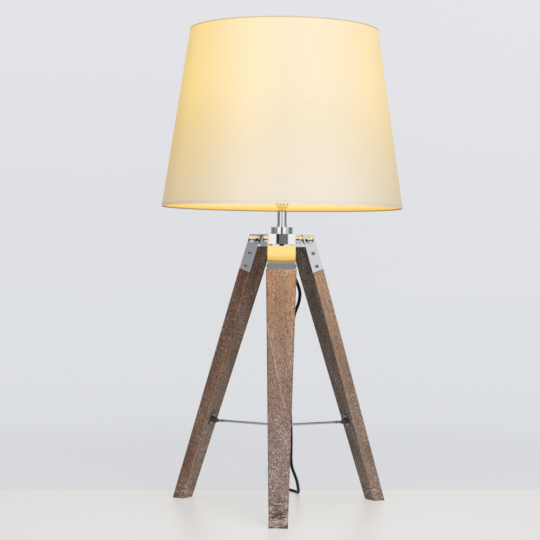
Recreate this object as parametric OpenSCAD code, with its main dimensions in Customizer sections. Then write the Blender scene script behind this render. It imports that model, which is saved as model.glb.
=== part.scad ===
// Tripod table lamp. A tapered drum shade stands on a short chrome stem, over a cast hub
// that carries three hinged wooden legs. A wire spreader joins the legs lower down, and a
// mains cord with a switch and a plug leaves the hub underneath.
// Millimetres, +Z up. The origin is on the lamp's axis, at the surface that it stands on,
// and the front leg points to -Y.

/* [Shade] */
// Outer diameter of the shade at its bottom edge
shade_bottom_d = 350; // [300:1:420]
// Outer diameter of the shade at its top edge
shade_top_d = 273; // [220:1:330]
// Height of the shade
shade_h = 258; // [200:1:320]
// Thickness of the fabric
fabric_t = 0.8; // [0.5:0.1:1.5]
// Thickness of the stiff liner behind the fabric
liner_t = 0.4; // [0.3:0.1:1]
// Wire diameter of the shade's two rings
shade_ring_wire_d = 3; // [2:0.1:4]
// Diameter of the three arms that carry the shade
shade_arm_d = 3; // [2:0.1:4]
// Outer diameter of the flat fitter ring
fitter_d = 58; // [56:1:70]
// Thickness of the fitter ring
fitter_t = 1.5; // [1:0.1:3]
// Height of the fitter ring above the shade's bottom edge
fitter_rise = 38.2; // [30:0.1:60]

/* [Stem and lampholder] */
// Diameter of the hollow threaded tube
tube_d = 10; // [9:0.5:12]
// Bore of the threaded tube
tube_bore_d = 7.5; // [6:0.1:8]
// Diameter of the disc on the hub
disc_d = 31.4; // [26:0.2:40]
// Height of the disc
disc_h = 11; // [6:0.5:16]
// Diameter of the collar above the disc
collar_d = 15; // [14.5:0.1:20]
// Height of the collar
collar_h = 3; // [2:0.5:6]
// Outer diameter of the stem
stem_d = 13.4; // [13:0.1:18]
// Length of the stem
stem_l = 25.5; // [15:0.5:60]
// Diameter of the lampholder cup at its foot
cup_foot_d = 17; // [16:0.5:24]
// Height of the lampholder cup
cup_h = 25; // [20:1:30]
// Diameter of the lampholder's threaded body
holder_d = 40; // [38:0.5:42]
// Height of the lampholder from the foot of its cup to its mouth
holder_h = 63; // [60:1:70]
// Outer diameter of the two rings that clamp the shade
clamp_ring_d = 52; // [50:1:56]
// Height of each clamp ring
clamp_ring_h = 5; // [3:0.5:8]
// Diameter of the lamp's screw cap
bulb_cap_d = 26.6; // [26:0.1:26.8]
// Largest diameter of the light bulb
bulb_d = 60; // [45:1:70]

/* [Hub and hinges] */
// Height of the hinge pins above the floor
pin_z = 390; // [300:1:500]
// Distance of the hinge pins from the lamp's axis
pin_r = 35; // [33:0.5:45]
// Diameter of the hinge bolts
pin_d = 6; // [4:0.5:8]
// Height of the hub
hub_h = 14.5; // [13:0.5:20]
// Reach of each hub arm from the axis
hub_arm_r = 42.5; // [40:0.5:54]
// Height of the hub's top above the hinge pins
hub_top_over_pin = 7.5; // [6:0.5:10]
// Outer width of a leg bracket
bracket_w = 40; // [36:0.5:48]
// Sheet thickness of a leg bracket
bracket_t = 1.3; // [1:0.1:2]
// Length of a leg bracket below its hinge pin
bracket_l = 48; // [44:1:70]
// Diameter of the bolt heads and cap nuts
bolt_head_d = 11; // [9:0.5:13]
// Height of a bolt's domed head
bolt_head_h = 7; // [6:0.5:9]
// Length of a cap nut
cap_nut_l = 11; // [9:0.5:14]

/* [Legs] */
// Distance from the axis to the middle of each foot
foot_r = 168; // [120:1:240]
// Width of a leg just below its bracket
leg_top_w = 43.5; // [41:0.5:52]
// Width of a leg at the floor
leg_foot_w = 26; // [20:0.5:40]
// Thickness of a leg
leg_t = 18.5; // [16:0.5:24]
// Radius of a leg's long edges
leg_edge_r = 1.5; // [0.5:0.1:3]
// Diameter of a bracket screw's shank
screw_d = 3; // [2.5:0.5:4]
// Length of a bracket screw's shank
screw_l = 12; // [8:1:16]
// Diameter of a bracket screw's head
screw_head_d = 5.6; // [5:0.1:8]

/* [Spreader] */
// Distance along a leg from its hinge pin to its spreader rod
rod_s = 280; // [220:1:290]
// Distance from a leg's inner face to the pivot of its rod
rod_pivot_off = 7; // [6.5:0.5:10]
// Diameter of the spreader rods
rod_d = 2.5; // [2:0.1:3]
// Radius of the spreader ring, to the middle of its wire
spreader_r = 13.5; // [13:0.5:18]
// Diameter of the spreader ring's wire
spreader_wire_d = 2.8; // [2:0.1:3.5]

/* [Cord, switch and plug] */
// Diameter of the mains cord
cord_d = 4.6; // [4:0.1:4.8]
// Length of the cord's strain relief below the hub
relief_l = 20; // [20:1:40]
// Number of loops in the put-away hank
hank_loops = 4; // [2:1:4]
// Length of a hank's straight run
hank_run = 92; // [70:1:92]
// Width of the switch
switch_w = 26; // [24:0.5:32]
// Length of the switch
switch_l = 60; // [50:1:60]
// Height of the switch
switch_h = 16; // [15:0.5:20]
// Width of the plug
plug_w = 34; // [32:0.5:36]
// Length of the plug's body
plug_l = 36; // [30:1:40]
// Thickness of the plug's body
plug_t = 13.7; // [12:0.1:15]
// Diameter of the plug's pins
plug_pin_d = 4; // [4:0.1:4.8]
// Length of the plug's pins
plug_pin_l = 19; // [17:0.5:20]
// Distance between the plug's pins
plug_pin_pitch = 19; // [18:0.5:19]

/* [Hidden] */
$fn = 64;
eps = 0.01;

// Clearances
slip = 0.05;        // radial, between a pin or a thread and what turns on it
seat = 0.1;         // radial or side play between fixed pieces
swing_gap = 0.3;    // between faces that move past each other
turn_gap = 0.2;     // between flat faces that turn on each other

// Heights up the lamp's axis
hub_z1 = pin_z + hub_top_over_pin;
hub_z0 = hub_z1 - hub_h;
disc_z0 = hub_z1;
collar_z0 = disc_z0 + disc_h;
stem_z0 = collar_z0 + collar_h;
cup_z0 = stem_z0 + stem_l;
cup_z1 = cup_z0 + cup_h;
holder_z1 = cup_z0 + holder_h;

// Lampholder
cup_wall = 0.7;
cup_foot_h = 4;
cup_cone_h = 13;
holder_wall = 2.8;
insert_floor_h = 18;
insert_z0 = cup_z0 + cup_foot_h + cup_cone_h + 2;
insert_z1 = insert_z0 + insert_floor_h;
clamp_lower_z0 = cup_z1 + 7;
fitter_z0 = clamp_lower_z0 + clamp_ring_h + turn_gap;
clamp_upper_z0 = fitter_z0 + fitter_t + turn_gap;
shell_d = bulb_cap_d + 0.8;
shell_t = 0.6;
holder_contact_h = 2.5;
holder_nut_h = 3;
nut_af = 14;
tube_z0 = hub_z0 + 1.3;
tube_z1 = cup_z0 + cup_foot_h + holder_nut_h + 2;

// Light bulb
bulb_z0 = insert_z1 + holder_contact_h + 0.1;
bulb_contact_h = 2.4;
bulb_cap_z0 = bulb_z0 + bulb_contact_h;
bulb_cap_h = 24;
bulb_glass_z0 = bulb_cap_z0 + bulb_cap_h;
bulb_neck_d = 28;
bulb_glass_t = 0.8;
bulb_ball_z = bulb_glass_z0 + 0.75 * bulb_d;

// Shade
shade_z0 = fitter_z0 - fitter_rise;
shade_z1 = shade_z0 + shade_h;
shade_slope = (shade_bottom_d - shade_top_d) / 2 / shade_h;
liner_gap = 0.05;
shade_skin = fabric_t + liner_gap + liner_t;
ring_inset = 2.5;
arm_angles = [90, -30, -150];
fitter_bore_d = holder_d + 2;

// Legs: each leg's own frame has its origin on the hinge pin, X out of the leg's outer
// face, Y along the pin and -Z down the leg.
leg_angles = [-90, 30, 150];
lean = atan((foot_r - pin_r) / pin_z);
leg_floor_s = pin_z / cos(lean);
channel_w = bracket_w - 2 * bracket_t;
arm_w = channel_w - 2 * swing_gap;
plate_top_z = hub_z0 - 2.6;
wood_top_z = hub_z0 - 4;
ear_top_z = hub_z1 - 0.2;
screw_s = [20.5, 40.5];
screw_head_h = 1.5;
wood_shoulder_s = bracket_l + seat;

// Spreader
rod_bracket_t = 1.5;
rod_bracket_w = 12;
rod_bracket_h = 18;
rod_tongue_r = 3.5;
rod_tongue_t = 2.4;
rod_ear_gap = rod_tongue_t + 1;
rod_pin_d = 2.4;
rod_pivot_n = -(leg_t / 2 + rod_pivot_off);
rod_pivot_r = pin_r + rod_s * sin(lean) + rod_pivot_n * cos(lean);
rod_pivot_z = pin_z - rod_s * cos(lean) + rod_pivot_n * sin(lean);
eye_r = rod_d / 2 + spreader_wire_d / 2 + 0.45;
eye_wire_d = rod_d - 0.1;
eye_lap = 0.3;

// Strain relief
relief_flange_h = tube_z0 - hub_z0;
relief_z0 = hub_z0 - relief_l;
relief_spigot_h = 8;
cord_bore_r = cord_d / 2 + slip;

// Route of the free cord, from the strain relief down to the switch
drop_route = [
    [0, 0, relief_z0], [0, 0, relief_z0 - 2.5], [1, 0, 354.5], [4, 0, 349.2], [8.4, 0, 345.8], [12.5, 0, 343],
    [16.6, 0, 339.6], [19.6, 0, 335], [23.2, 0, 327], [26.2, 0, 319], [27.5, 0, 311], [26.8, 0, 303],
    [25, 1, 295.5], [22, 3, 287.5], [19.5, 6, 279], [18, 10, 270], [17, 14, 261], [16, 18, 248],
    [15, 22, 232], [14, 25.5, 214], [13.5, 28, 194], [13.5, 29, 173], [14.5, 29.5, 152], [16, 30, 131],
    [17, 31, 113], [17.6, 33.5, 96], [17.6, 37.5, 78], [17.8, 42, 63], [19.3, 46.5, 52.5], [22, 53, 44],
    [25, 62, 35.5], [27.5, 74, 26.5], [29, 87, 18], [30, 100, 10.5], [30, 112, 5.2], [29, 124, 2.8],
    [26, 136, 2.4], [20.5, 147, 2.4], [13, 156, 2.6], [5, 164.5, 3.8], [-0.2, 173, 5.8], [-2, 181, 7.5],
    [-2, 186, 8], [-2, 190, 8]
];

// Switch: it lies on the floor behind the lamp, with its length along Y
switch_x = -2;
switch_y0 = 190;
switch_y1 = switch_y0 + switch_l;
switch_cord_z = 8;
switch_wall = 1.8;
switch_r = 6;
switch_split_z = 8;
rocker_w = 10;
rocker_l = 15;
rocker_pivot_z = 11.4;
rocker_pin_d = 2.4;
rocker_tilt = 8;

// Hank: loops of cord laid on each other and drawn in by a tie at the waist
hank_x = -2;
hank_y0 = 316;
hank_y1 = hank_y0 + hank_run;
hank_fold_r = 13.9;
hank_pinch = 6;
hank_step = 5.2;
hank_z0 = 3.5;
loop_rings = 24;
hank_z1 = hank_z0 + hank_loops * hank_step;
hank_top_z = hank_z1 - hank_step + cord_d / 2;
tie_t = 0.8;
tie_w = 6;
tie_gap = 0.3;
tie_z0 = 0.1;
tie_half_w = hank_fold_r - hank_pinch + cord_d / 2 + tie_gap + tie_t;
tie_z1 = hank_top_z + tie_gap + tie_t;

// Plug: it lies on the hank's far half, with its pins to the back
tail_l = 54;
plug_y0 = hank_y0 + tail_l;
plug_y1 = plug_y0 + plug_l;
plug_z0 = hank_top_z + 0.35;
plug_z = plug_z0 + plug_t / 2;

// Points on the way from a to b along Y, which leave and arrive straight
function eased(a, b, steps = 6) = [
    for (i = [0:steps]) let (v = i / steps, w = (1 - cos(180 * v)) / 2)
        [a.x + (b.x - a.x) * w, a.y + (b.y - a.y) * v, a.z + (b.z - a.z) * w]
];
hank_left = hank_x - hank_fold_r;
link_route = concat(
    [[switch_x, switch_y1, switch_cord_z]],
    eased([switch_x, switch_y1 + 5, switch_cord_z], [hank_left, hank_y0 - 2 * cord_d, hank_z0]),
    [[hank_left, hank_y0 - cord_d, hank_z0]]
);
tail_route = concat(
    [[hank_left, hank_y0 + cord_d, hank_z1]],
    eased([hank_left, hank_y0 + 2 * cord_d, hank_z1], [hank_x, plug_y0 - 4, plug_z]),
    [[hank_x, plug_y0, plug_z]]
);

// ---------- helpers ----------

function unit(v) = v / norm(v);
function tangent(p, i) = unit(p[min(i + 1, len(p) - 1)] - p[max(i - 1, 0)]);
function across(u, t) = unit(u - (u * t) * t);
function first_side(t) = across(abs(t.z) < 0.9 ? [0, 0, 1] : [1, 0, 0], t);
function smooth_step(v) = v * v * (3 - 2 * v);

// Sides of the rings along a path, turned as little as possible from each to the next
function path_sides(p) = [
    for (i = 0, u = first_side(tangent(p, 0)); i < len(p); i = i + 1,
         u = i < len(p) ? across(u, tangent(p, i)) : u) u
];

// Closed tube swept along a list of points
module tube_along(p, d, sides = 8) {
    us = path_sides(p);
    n = len(p);
    rings = [
        for (i = [0:n - 1]) let (t = tangent(p, i), u = us[i], v = cross(t, u))
            for (j = [0:sides - 1]) let (a = 360 * (j + 0.5) / sides)
                p[i] + d / 2 * (cos(a) * u + sin(a) * v)
    ];
    walls = [
        for (i = [0:n - 2]) for (j = [0:sides - 1]) let (k = (j + 1) % sides, a = i * sides, b = a + sides)
            each [[a + j, b + j, b + k], [a + j, b + k, a + k]]
    ];
    last = (n - 1) * sides;
    ends = [for (j = [1:sides - 2]) each [[0, j, j + 1], [last, last + j + 1, last + j]]];
    polyhedron(points = rings, faces = concat(walls, ends));
}

// Cylinder between two points
module rod_between(a, b, d) {
    v = b - a;
    translate(a) rotate([0, acos(v.z / norm(v)), atan2(v.y, v.x)]) cylinder(d = d, h = norm(v));
}

// Flat ring standing on z
module washer_ring(od, id, h, z) {
    translate([0, 0, z]) difference() {
        cylinder(d = od, h = h);
        translate([0, 0, -1]) cylinder(d = id, h = h + 2);
    }
}

// Hexagon nut with a plain bore
module hex_nut(af, id, h, z) {
    translate([0, 0, z]) difference() {
        cylinder(d = af / cos(30), h = h, $fn = 6);
        translate([0, 0, -1]) cylinder(d = id, h = h + 2);
    }
}

// Block with round upright corners, centred on X and Y
module rounded_block(w, l, r, z0, z1) {
    translate([-w / 2 + r, -l / 2, z0]) cube([w - 2 * r, l, z1 - z0]);
    translate([-w / 2, -l / 2 + r, z0]) cube([w, l - 2 * r, z1 - z0]);
    for (x = [-1, 1], y = [-1, 1])
        translate([x * (w / 2 - r), y * (l / 2 - r), z0]) cylinder(r = r, h = z1 - z0);
}

// Ring of round wire lying flat
module wire_ring(r, d, z) {
    translate([0, 0, z]) rotate_extrude($fn = 180) translate([r, 0]) circle(d = d, $fn = 24);
}

// Places its children in a leg's own frame
module in_leg(angle) {
    rotate([0, 0, angle]) translate([pin_r, 0, pin_z]) rotate([0, -lean, 0]) children();
}

// ---------- shade ----------

function shade_r(z) = shade_bottom_d / 2 - (z - shade_z0) * shade_slope;

// Conical skin of the shade, from one depth behind its outer face to another
module shade_skin_band(depth0, depth1) {
    rotate_extrude($fn = 180) polygon([
        [shade_r(shade_z0) - depth0, shade_z0], [shade_r(shade_z1) - depth0, shade_z1],
        [shade_r(shade_z1) - depth1, shade_z1], [shade_r(shade_z0) - depth1, shade_z0]
    ]);
}

module shade_cover() {
    color("cornsilk") shade_skin_band(0, fabric_t);
}

module shade_liner() {
    color("ivory") shade_skin_band(fabric_t + liner_gap, shade_skin);
}

function shade_ring_r(z) = shade_r(z) - shade_skin - 0.15 - (1 + shade_slope) * shade_ring_wire_d / 2;

module shade_top_ring() {
    z = shade_z1 - ring_inset;
    color("whitesmoke") wire_ring(shade_ring_r(z), shade_ring_wire_d, z);
}

module shade_bottom_ring() {
    z = shade_z0 + ring_inset;
    color("whitesmoke") wire_ring(shade_ring_r(z), shade_ring_wire_d, z);
}

module shade_arms() {
    z0 = shade_z0 + ring_inset;
    a_in = [fitter_d / 2 + 5 * seat, 0, fitter_z0 + fitter_t / 2];
    a_out = [shade_ring_r(z0) - shade_ring_wire_d / 2 - 2 * seat, 0, z0];
    color("whitesmoke") for (a = arm_angles) rotate([0, 0, a]) rod_between(a_in, a_out, shade_arm_d);
}

module shade_fitter() {
    color("whitesmoke") washer_ring(fitter_d, fitter_bore_d, fitter_t, fitter_z0);
}

module clamp_ring_upper() {
    color("whitesmoke") washer_ring(clamp_ring_d, holder_d + 2 * slip, clamp_ring_h, clamp_upper_z0);
}

module clamp_ring_lower() {
    color("whitesmoke") washer_ring(clamp_ring_d, holder_d + 2 * slip, clamp_ring_h, clamp_lower_z0);
}

// ---------- light bulb ----------

// Outline of the glass at a depth inside its outer face
module bulb_outline(depth) {
    r_ball = bulb_d / 2 - depth;
    r_neck = bulb_neck_d / 2 - depth;
    intersection() {
        translate([0, bulb_glass_z0 - eps]) square([bulb_d, 3 * bulb_d]);
        union() {
            intersection() {
                translate([0, bulb_ball_z]) circle(r = r_ball, $fn = 96);
                translate([0, bulb_glass_z0]) square([bulb_d, 3 * bulb_d]);
            }
            polygon([
                [0, bulb_glass_z0 - 2 * eps], [r_neck, bulb_glass_z0 - 2 * eps], [r_neck, bulb_glass_z0 + 6],
                [r_ball * cos(32), bulb_ball_z - r_ball * sin(32)], [0, bulb_ball_z]
            ]);
        }
    }
}

module bulb_glass() {
    color("white", 0.6) rotate_extrude($fn = 96) difference() {
        intersection() {
            bulb_outline(0);
            translate([0, bulb_glass_z0]) square([bulb_d, 3 * bulb_d]);
        }
        bulb_outline(bulb_glass_t);
    }
}

module bulb_cap() {
    color("silver") rotate_extrude() polygon([
        [0, bulb_cap_z0], [bulb_cap_d / 2 - 4, bulb_cap_z0], [bulb_cap_d / 2, bulb_cap_z0 + 4],
        [bulb_cap_d / 2, bulb_glass_z0 - 2], [bulb_neck_d / 2, bulb_glass_z0], [0, bulb_glass_z0]
    ]);
}

module bulb_contact() {
    color("goldenrod") translate([0, 0, bulb_z0]) cylinder(d = 9, h = bulb_contact_h);
}

module bulb_filament() {
    color("moccasin") {
        translate([0, 0, bulb_glass_z0]) cylinder(d1 = 12, d2 = 5, h = 24);
        for (a = [0:90:270]) rotate([0, 0, a])
            rod_between([1.5, 0, bulb_glass_z0 + 22], [9, 0, bulb_ball_z + 10], 1.6);
    }
}

// ---------- lampholder and stem ----------

module holder_cup() {
    r_out = holder_d / 2 + cup_wall;
    z_cone = cup_z0 + cup_foot_h;
    z_rim = z_cone + cup_cone_h;
    color("gainsboro") difference() {
        rotate_extrude() polygon([
            [0, cup_z0], [cup_foot_d / 2, cup_z0], [cup_foot_d / 2, z_cone], [r_out, z_rim], [r_out, cup_z1],
            [r_out - cup_wall, cup_z1], [r_out - cup_wall, z_rim], [cup_foot_d / 2, z_cone + 1],
            [cup_foot_d / 2 - 0.3, z_cone], [0, z_cone]
        ]);
        translate([0, 0, cup_z0 - 1]) cylinder(d = tube_d + 2 * slip, h = cup_foot_h + 2);
    }
}

module holder_nut() {
    color("gainsboro") hex_nut(nut_af, tube_d + 2 * slip, holder_nut_h, cup_z0 + cup_foot_h);
}

module holder_body() {
    z0 = cup_z0 + cup_foot_h + cup_cone_h + 0.5;
    r = holder_d / 2;
    step = seat + slip;
    color("ivory") rotate_extrude() polygon([
        [r - holder_wall, z0], [r - step, z0], [r - step, cup_z1 + 0.5], [r, cup_z1 + 0.5], [r, holder_z1],
        [r - holder_wall, holder_z1]
    ]);
}

module holder_insert() {
    r = holder_d / 2 - holder_wall - seat;
    r_hole = shell_d / 2 + shell_t + seat;
    color("white") difference() {
        translate([0, 0, insert_z0]) cylinder(r = r, h = holder_z1 - 3 - insert_z0);
        translate([0, 0, insert_z1]) cylinder(r = r_hole, h = holder_h);
        for (x = [-8, 8]) translate([x, 0, insert_z0 - 1]) cylinder(d = 3, h = 12);
    }
}

module holder_screw_shell() {
    color("goldenrod") washer_ring(shell_d + 2 * shell_t, shell_d, holder_z1 - 4 - insert_z1, insert_z1);
}

module holder_contact() {
    color("goldenrod") translate([0, 0, insert_z1]) cylinder(d = 6, h = holder_contact_h);
}

module threaded_tube() {
    color("darkgray") washer_ring(tube_d, tube_bore_d, tube_z1 - tube_z0, tube_z0);
}

module stem_tube() {
    color("gainsboro") washer_ring(stem_d, tube_d + 2 * seat, stem_l, stem_z0);
}

module stem_collar() {
    color("gainsboro") washer_ring(collar_d, tube_d + 2 * slip, collar_h, collar_z0);
}

module hub_disc() {
    chamfer = 0.6;
    r = disc_d / 2;
    color("gainsboro") difference() {
        rotate_extrude() polygon([
            [0, disc_z0], [r - chamfer, disc_z0], [r, disc_z0 + chamfer], [r, collar_z0 - chamfer],
            [r - chamfer, collar_z0], [0, collar_z0]
        ]);
        translate([0, 0, disc_z0 - 1]) cylinder(d = tube_d + 2 * slip, h = disc_h + 2);
    }
}

// ---------- hub ----------

hub_recess_d = 20;
hub_recess_h = 7;
lock_nut_h = 4;
washer_t = 0.8;

module hub() {
    color("gainsboro") difference() {
        for (a = leg_angles) rotate([0, 0, a])
            translate([0, -arm_w / 2, hub_z0]) cube([hub_arm_r, arm_w, hub_h]);
        translate([0, 0, hub_z0 - 1]) cylinder(d = tube_d + 2 * slip, h = hub_h + 2);
        translate([0, 0, hub_z0 - 1]) cylinder(d = hub_recess_d, h = hub_recess_h + 1);
        for (a = leg_angles) rotate([0, 0, a]) translate([pin_r, 0, pin_z])
            rotate([90, 0, 0]) translate([0, 0, -arm_w]) cylinder(d = pin_d + 2 * slip, h = 2 * arm_w);
    }
}

module hub_washer() {
    color("silver") washer_ring(18, tube_d + 2 * seat, washer_t, hub_z0 + hub_recess_h - washer_t);
}

module hub_lock_nut() {
    z = hub_z0 + hub_recess_h - washer_t - lock_nut_h;
    color("silver") hex_nut(nut_af, tube_d + 2 * slip, lock_nut_h, z);
}

// ---------- legs ----------

// Bores for the bracket screws, through a bracket's sides and into the wood
module screw_bores(d) {
    for (s = screw_s, side = [-1, 1])
        translate([0, 0, -s]) rotate([-90 * side, 0, 0]) translate([0, 0, bracket_w / 2 - screw_l - 0.5])
            cylinder(d = d, h = screw_l + 5);
}

module leg(angle) {
    far_s = leg_floor_s + leg_t;
    far_w = leg_top_w + (leg_foot_w - leg_top_w) * (far_s - wood_shoulder_s) / (leg_floor_s - wood_shoulder_s);
    tongue_w = channel_w - 2 * seat;
    color("rosybrown") intersection() {
        in_leg(angle) difference() {
            union() {
                hull() for (end = [[wood_shoulder_s, leg_top_w], [far_s, far_w]], x = [-1, 1], y = [-1, 1])
                    translate([x * (leg_t / 2 - leg_edge_r), y * (end[1] / 2 - leg_edge_r), -end[0]])
                        cylinder(r = leg_edge_r, h = eps, $fn = 24);
                translate([-leg_t / 2, -tongue_w / 2, -wood_shoulder_s - 1])
                    cube([leg_t - bracket_t - seat, tongue_w, wood_shoulder_s + 1]);
            }
            screw_bores(screw_d);
        }
        cylinder(r = 2 * foot_r, h = wood_top_z);
    }
}

// Bent from one sheet: an outer plate below the hub and two sides that reach up past the pin
module bracket(angle) {
    color("gainsboro") intersection() {
        in_leg(angle) difference() {
            translate([-leg_t / 2, -bracket_w / 2, -bracket_l]) cube([leg_t, bracket_w, bracket_l + 3 * hub_h]);
            translate([-leg_t, -channel_w / 2, -bracket_l - 1])
                cube([1.5 * leg_t - bracket_t, channel_w, bracket_l + 4 * hub_h]);
            translate([0, 0, -(pin_z - plate_top_z + leg_t / 2 * sin(lean)) / cos(lean)])
                translate([0, -channel_w / 2, 0]) cube([leg_t, channel_w, bracket_l + hub_h]);
            rotate([90, 0, 0]) translate([0, 0, -bracket_w]) cylinder(d = pin_d + 2 * slip, h = 2 * bracket_w);
            screw_bores(screw_d + 2 * seat);
        }
        cylinder(r = 2 * foot_r, h = ear_top_z);
    }
}

// Bolt with a domed head, along the leg's Y axis
module hinge_bolt(angle) {
    rim = 2.5;
    pin_l = bracket_w + 0.7 * cap_nut_l;
    color("gainsboro") in_leg(angle) rotate([90, 0, 0]) {
        translate([0, 0, bracket_w / 2 - pin_l]) cylinder(d = pin_d, h = pin_l + 1);
        rotate_extrude() domed_outline(bolt_head_d, bracket_w / 2, rim, bolt_head_h);
    }
}

// Half outline of a rim with a slightly narrower round dome, standing on z0
module domed_outline(d, z0, rim, h) {
    rise = h - rim;
    base_r = d / 2 - 0.2;
    ball_r = (rise * rise + base_r * base_r) / 2 / rise;
    translate([0, z0]) {
        square([d / 2, rim]);
        intersection() {
            translate([0, h - ball_r]) circle(r = ball_r, $fn = 96);
            translate([0, rim - 0.1]) square([d / 2, rise + 1]);
        }
    }
}

module cap_nut(angle) {
    rim = 4.5;
    color("gainsboro") in_leg(angle) rotate([-90, 0, 0]) difference() {
        rotate_extrude() domed_outline(bolt_head_d, bracket_w / 2, rim, cap_nut_l);
        translate([0, 0, bracket_w / 2 - 1]) cylinder(d = pin_d + 2 * slip, h = 1 + 0.75 * cap_nut_l);
    }
}

// Four screws: a shank in the wood and a shallow head outside the bracket
module bracket_screws(angle) {
    color("silver") in_leg(angle) for (s = screw_s, side = [-1, 1])
        translate([0, 0, -s]) rotate([-90 * side, 0, 0]) {
            translate([0, 0, bracket_w / 2 - screw_l]) cylinder(d = screw_d - 2 * slip, h = screw_l + 0.4);
            rotate_extrude() domed_outline(screw_head_d, bracket_w / 2, 0.5, screw_head_h);
        }
}

// ---------- spreader ----------

// Places its children on a rod's pivot: X away from the axis, Y along the pivot, Z up
module on_rod_pivot(angle) {
    rotate([0, 0, angle]) translate([rod_pivot_r, 0, rod_pivot_z]) children();
}

// Base plate on the wood, two ears and the pivot pin
module rod_bracket(angle) {
    base_n = -leg_t / 2 - rod_bracket_t;
    color("dimgray") in_leg(angle) {
        translate([base_n, -rod_bracket_w / 2, -rod_s - rod_bracket_h / 2])
            cube([rod_bracket_t, rod_bracket_w, rod_bracket_h]);
        for (side = [-1, 1]) translate([0, side * (rod_ear_gap / 2 + rod_bracket_t / 2), -rod_s])
            rotate([90, 0, 0]) translate([0, 0, -rod_bracket_t / 2]) {
                translate([rod_pivot_n, 0]) cylinder(r = rod_tongue_r, h = rod_bracket_t);
                translate([rod_pivot_n, -rod_tongue_r])
                    cube([base_n - rod_pivot_n + eps, 2 * rod_tongue_r, rod_bracket_t]);
            }
        translate([rod_pivot_n, 0, -rod_s]) rotate([90, 0, 0])
            translate([0, 0, -rod_ear_gap / 2 - rod_bracket_t])
                cylinder(d = rod_pin_d, h = rod_ear_gap + 2 * rod_bracket_t);
    }
}

// Rod with a flat drilled tongue at the leg and an eye round the spreader ring.
// curl is how far the eye goes round: the front rod's is closed, the others are open hooks.
module rod(angle, curl) {
    reach = rod_pivot_r - spreader_r;
    color("silver") on_rod_pivot(angle) difference() {
        union() {
            rotate([0, -90, 0]) cylinder(d = rod_d, h = reach + eye_lap);
            translate([0, rod_tongue_t / 2, 0]) rotate([90, 0, 0]) cylinder(r = rod_tongue_r, h = rod_tongue_t);
            translate([-2 * rod_tongue_r, -rod_tongue_t / 2, -rod_tongue_r / 2])
                cube([2 * rod_tongue_r, rod_tongue_t, rod_tongue_r]);
            translate([-reach, 0, eye_r]) rotate([90, 0, 0]) rotate([0, 0, -90 - curl])
                rotate_extrude(angle = curl, $fn = 48) translate([eye_r, 0]) circle(d = eye_wire_d, $fn = 24);
        }
        translate([0, rod_tongue_t, 0]) rotate([90, 0, 0]) cylinder(d = rod_pin_d + 2 * slip, h = 2 * rod_tongue_t);
    }
}

module spreader_ring() {
    color("silver") wire_ring(spreader_r, spreader_wire_d, rod_pivot_z + eye_r);
}

// ---------- cord ----------

// Tapered sleeve under the hub, held by a flange and a spigot in the threaded tube
module cord_relief() {
    tip_r = cord_d / 2 + 0.7;
    top_r = cord_d / 2 + 1.1;
    color("black") difference() {
        rotate_extrude() polygon([
            [0, relief_z0], [tip_r, relief_z0], [top_r, hub_z0], [top_r + 1, hub_z0], [top_r + 1, tube_z0],
            [tube_bore_d / 2 - seat, tube_z0], [tube_bore_d / 2 - seat, tube_z0 + relief_spigot_h],
            [0, tube_z0 + relief_spigot_h]
        ]);
        translate([0, 0, relief_z0 - 1])
            cylinder(r = cord_bore_r, h = relief_l + relief_flange_h + relief_spigot_h + 2);
    }
}

module cord_inner() {
    color("black") translate([0, 0, relief_z0]) cylinder(d = cord_d, h = insert_z0 - seat - relief_z0);
}

module cord_drop() {
    color("black") tube_along(drop_route, cord_d);
}

module cord_link() {
    color("black") tube_along(link_route, cord_d);
}

module cord_tail() {
    color("black") tube_along(tail_route, cord_d);
}

// One point of the hank: q counts quarters of a loop, which are the left run, the far fold,
// the right run and the near fold, where the cord climbs onto the loop below
function hank_point(i) = let (
        turn = floor(i / loop_rings),
        q = (i % loop_rings) * 4 / loop_rings,
        side = floor(q),
        v = q - side,
        pinch = hank_pinch * (1 - cos(360 * v)) / 2,
        run_x = hank_fold_r - pinch,
        fold_a = 180 * (1 - v),
        climb = side < 3 ? 0 : smooth_step(v),
        x = side == 0 ? -run_x : side == 2 ? run_x : (side == 1 ? 1 : -1) * hank_fold_r * cos(fold_a),
        y = side == 0 ? hank_y0 + v * hank_run : side == 2 ? hank_y1 - v * hank_run
            : side == 1 ? hank_y1 + hank_fold_r * sin(fold_a) : hank_y0 - hank_fold_r * sin(fold_a)
    ) [hank_x + x, y, hank_z0 + (turn + climb) * hank_step];
hank_path = concat(
    [[hank_left, hank_y0 - cord_d, hank_z0]],
    [for (i = [0:hank_loops * loop_rings]) hank_point(i)],
    [[hank_left, hank_y0 + cord_d, hank_z1]]
);
hank_gap = min([
    for (i = [0:len(hank_path) - 1]) for (j = [i + loop_rings / 3:1:len(hank_path) - 1])
        norm(hank_path[i] - hank_path[j]) - cord_d
]);
echo(hank_least_gap_mm = hank_gap);

module cord_hank() {
    color("black") tube_along(hank_path, cord_d, 6);
}

module hank_tie() {
    corner = 3;
    mid_z = (tie_z0 + tie_z1) / 2;
    color("dimgray") translate([hank_x, (hank_y0 + hank_y1) / 2, mid_z]) rotate([90, 0, 0]) difference() {
        rounded_block(2 * tie_half_w, tie_z1 - tie_z0, corner, -tie_w / 2, tie_w / 2);
        rounded_block(2 * (tie_half_w - tie_t), tie_z1 - tie_z0 - 2 * tie_t, corner - tie_t, -tie_w, tie_w);
    }
}

// ---------- switch ----------

module on_switch() {
    translate([switch_x, (switch_y0 + switch_y1) / 2, 0]) children();
}

// Passage for the cord through both ends of the switch
module switch_cord_ways() {
    for (y = [-1, 1]) translate([0, y * switch_l / 2, switch_cord_z]) rotate([90, 0, 0])
        translate([0, 0, -switch_wall - 1]) cylinder(d = cord_d, h = 2 * switch_wall + 2);
}

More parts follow.
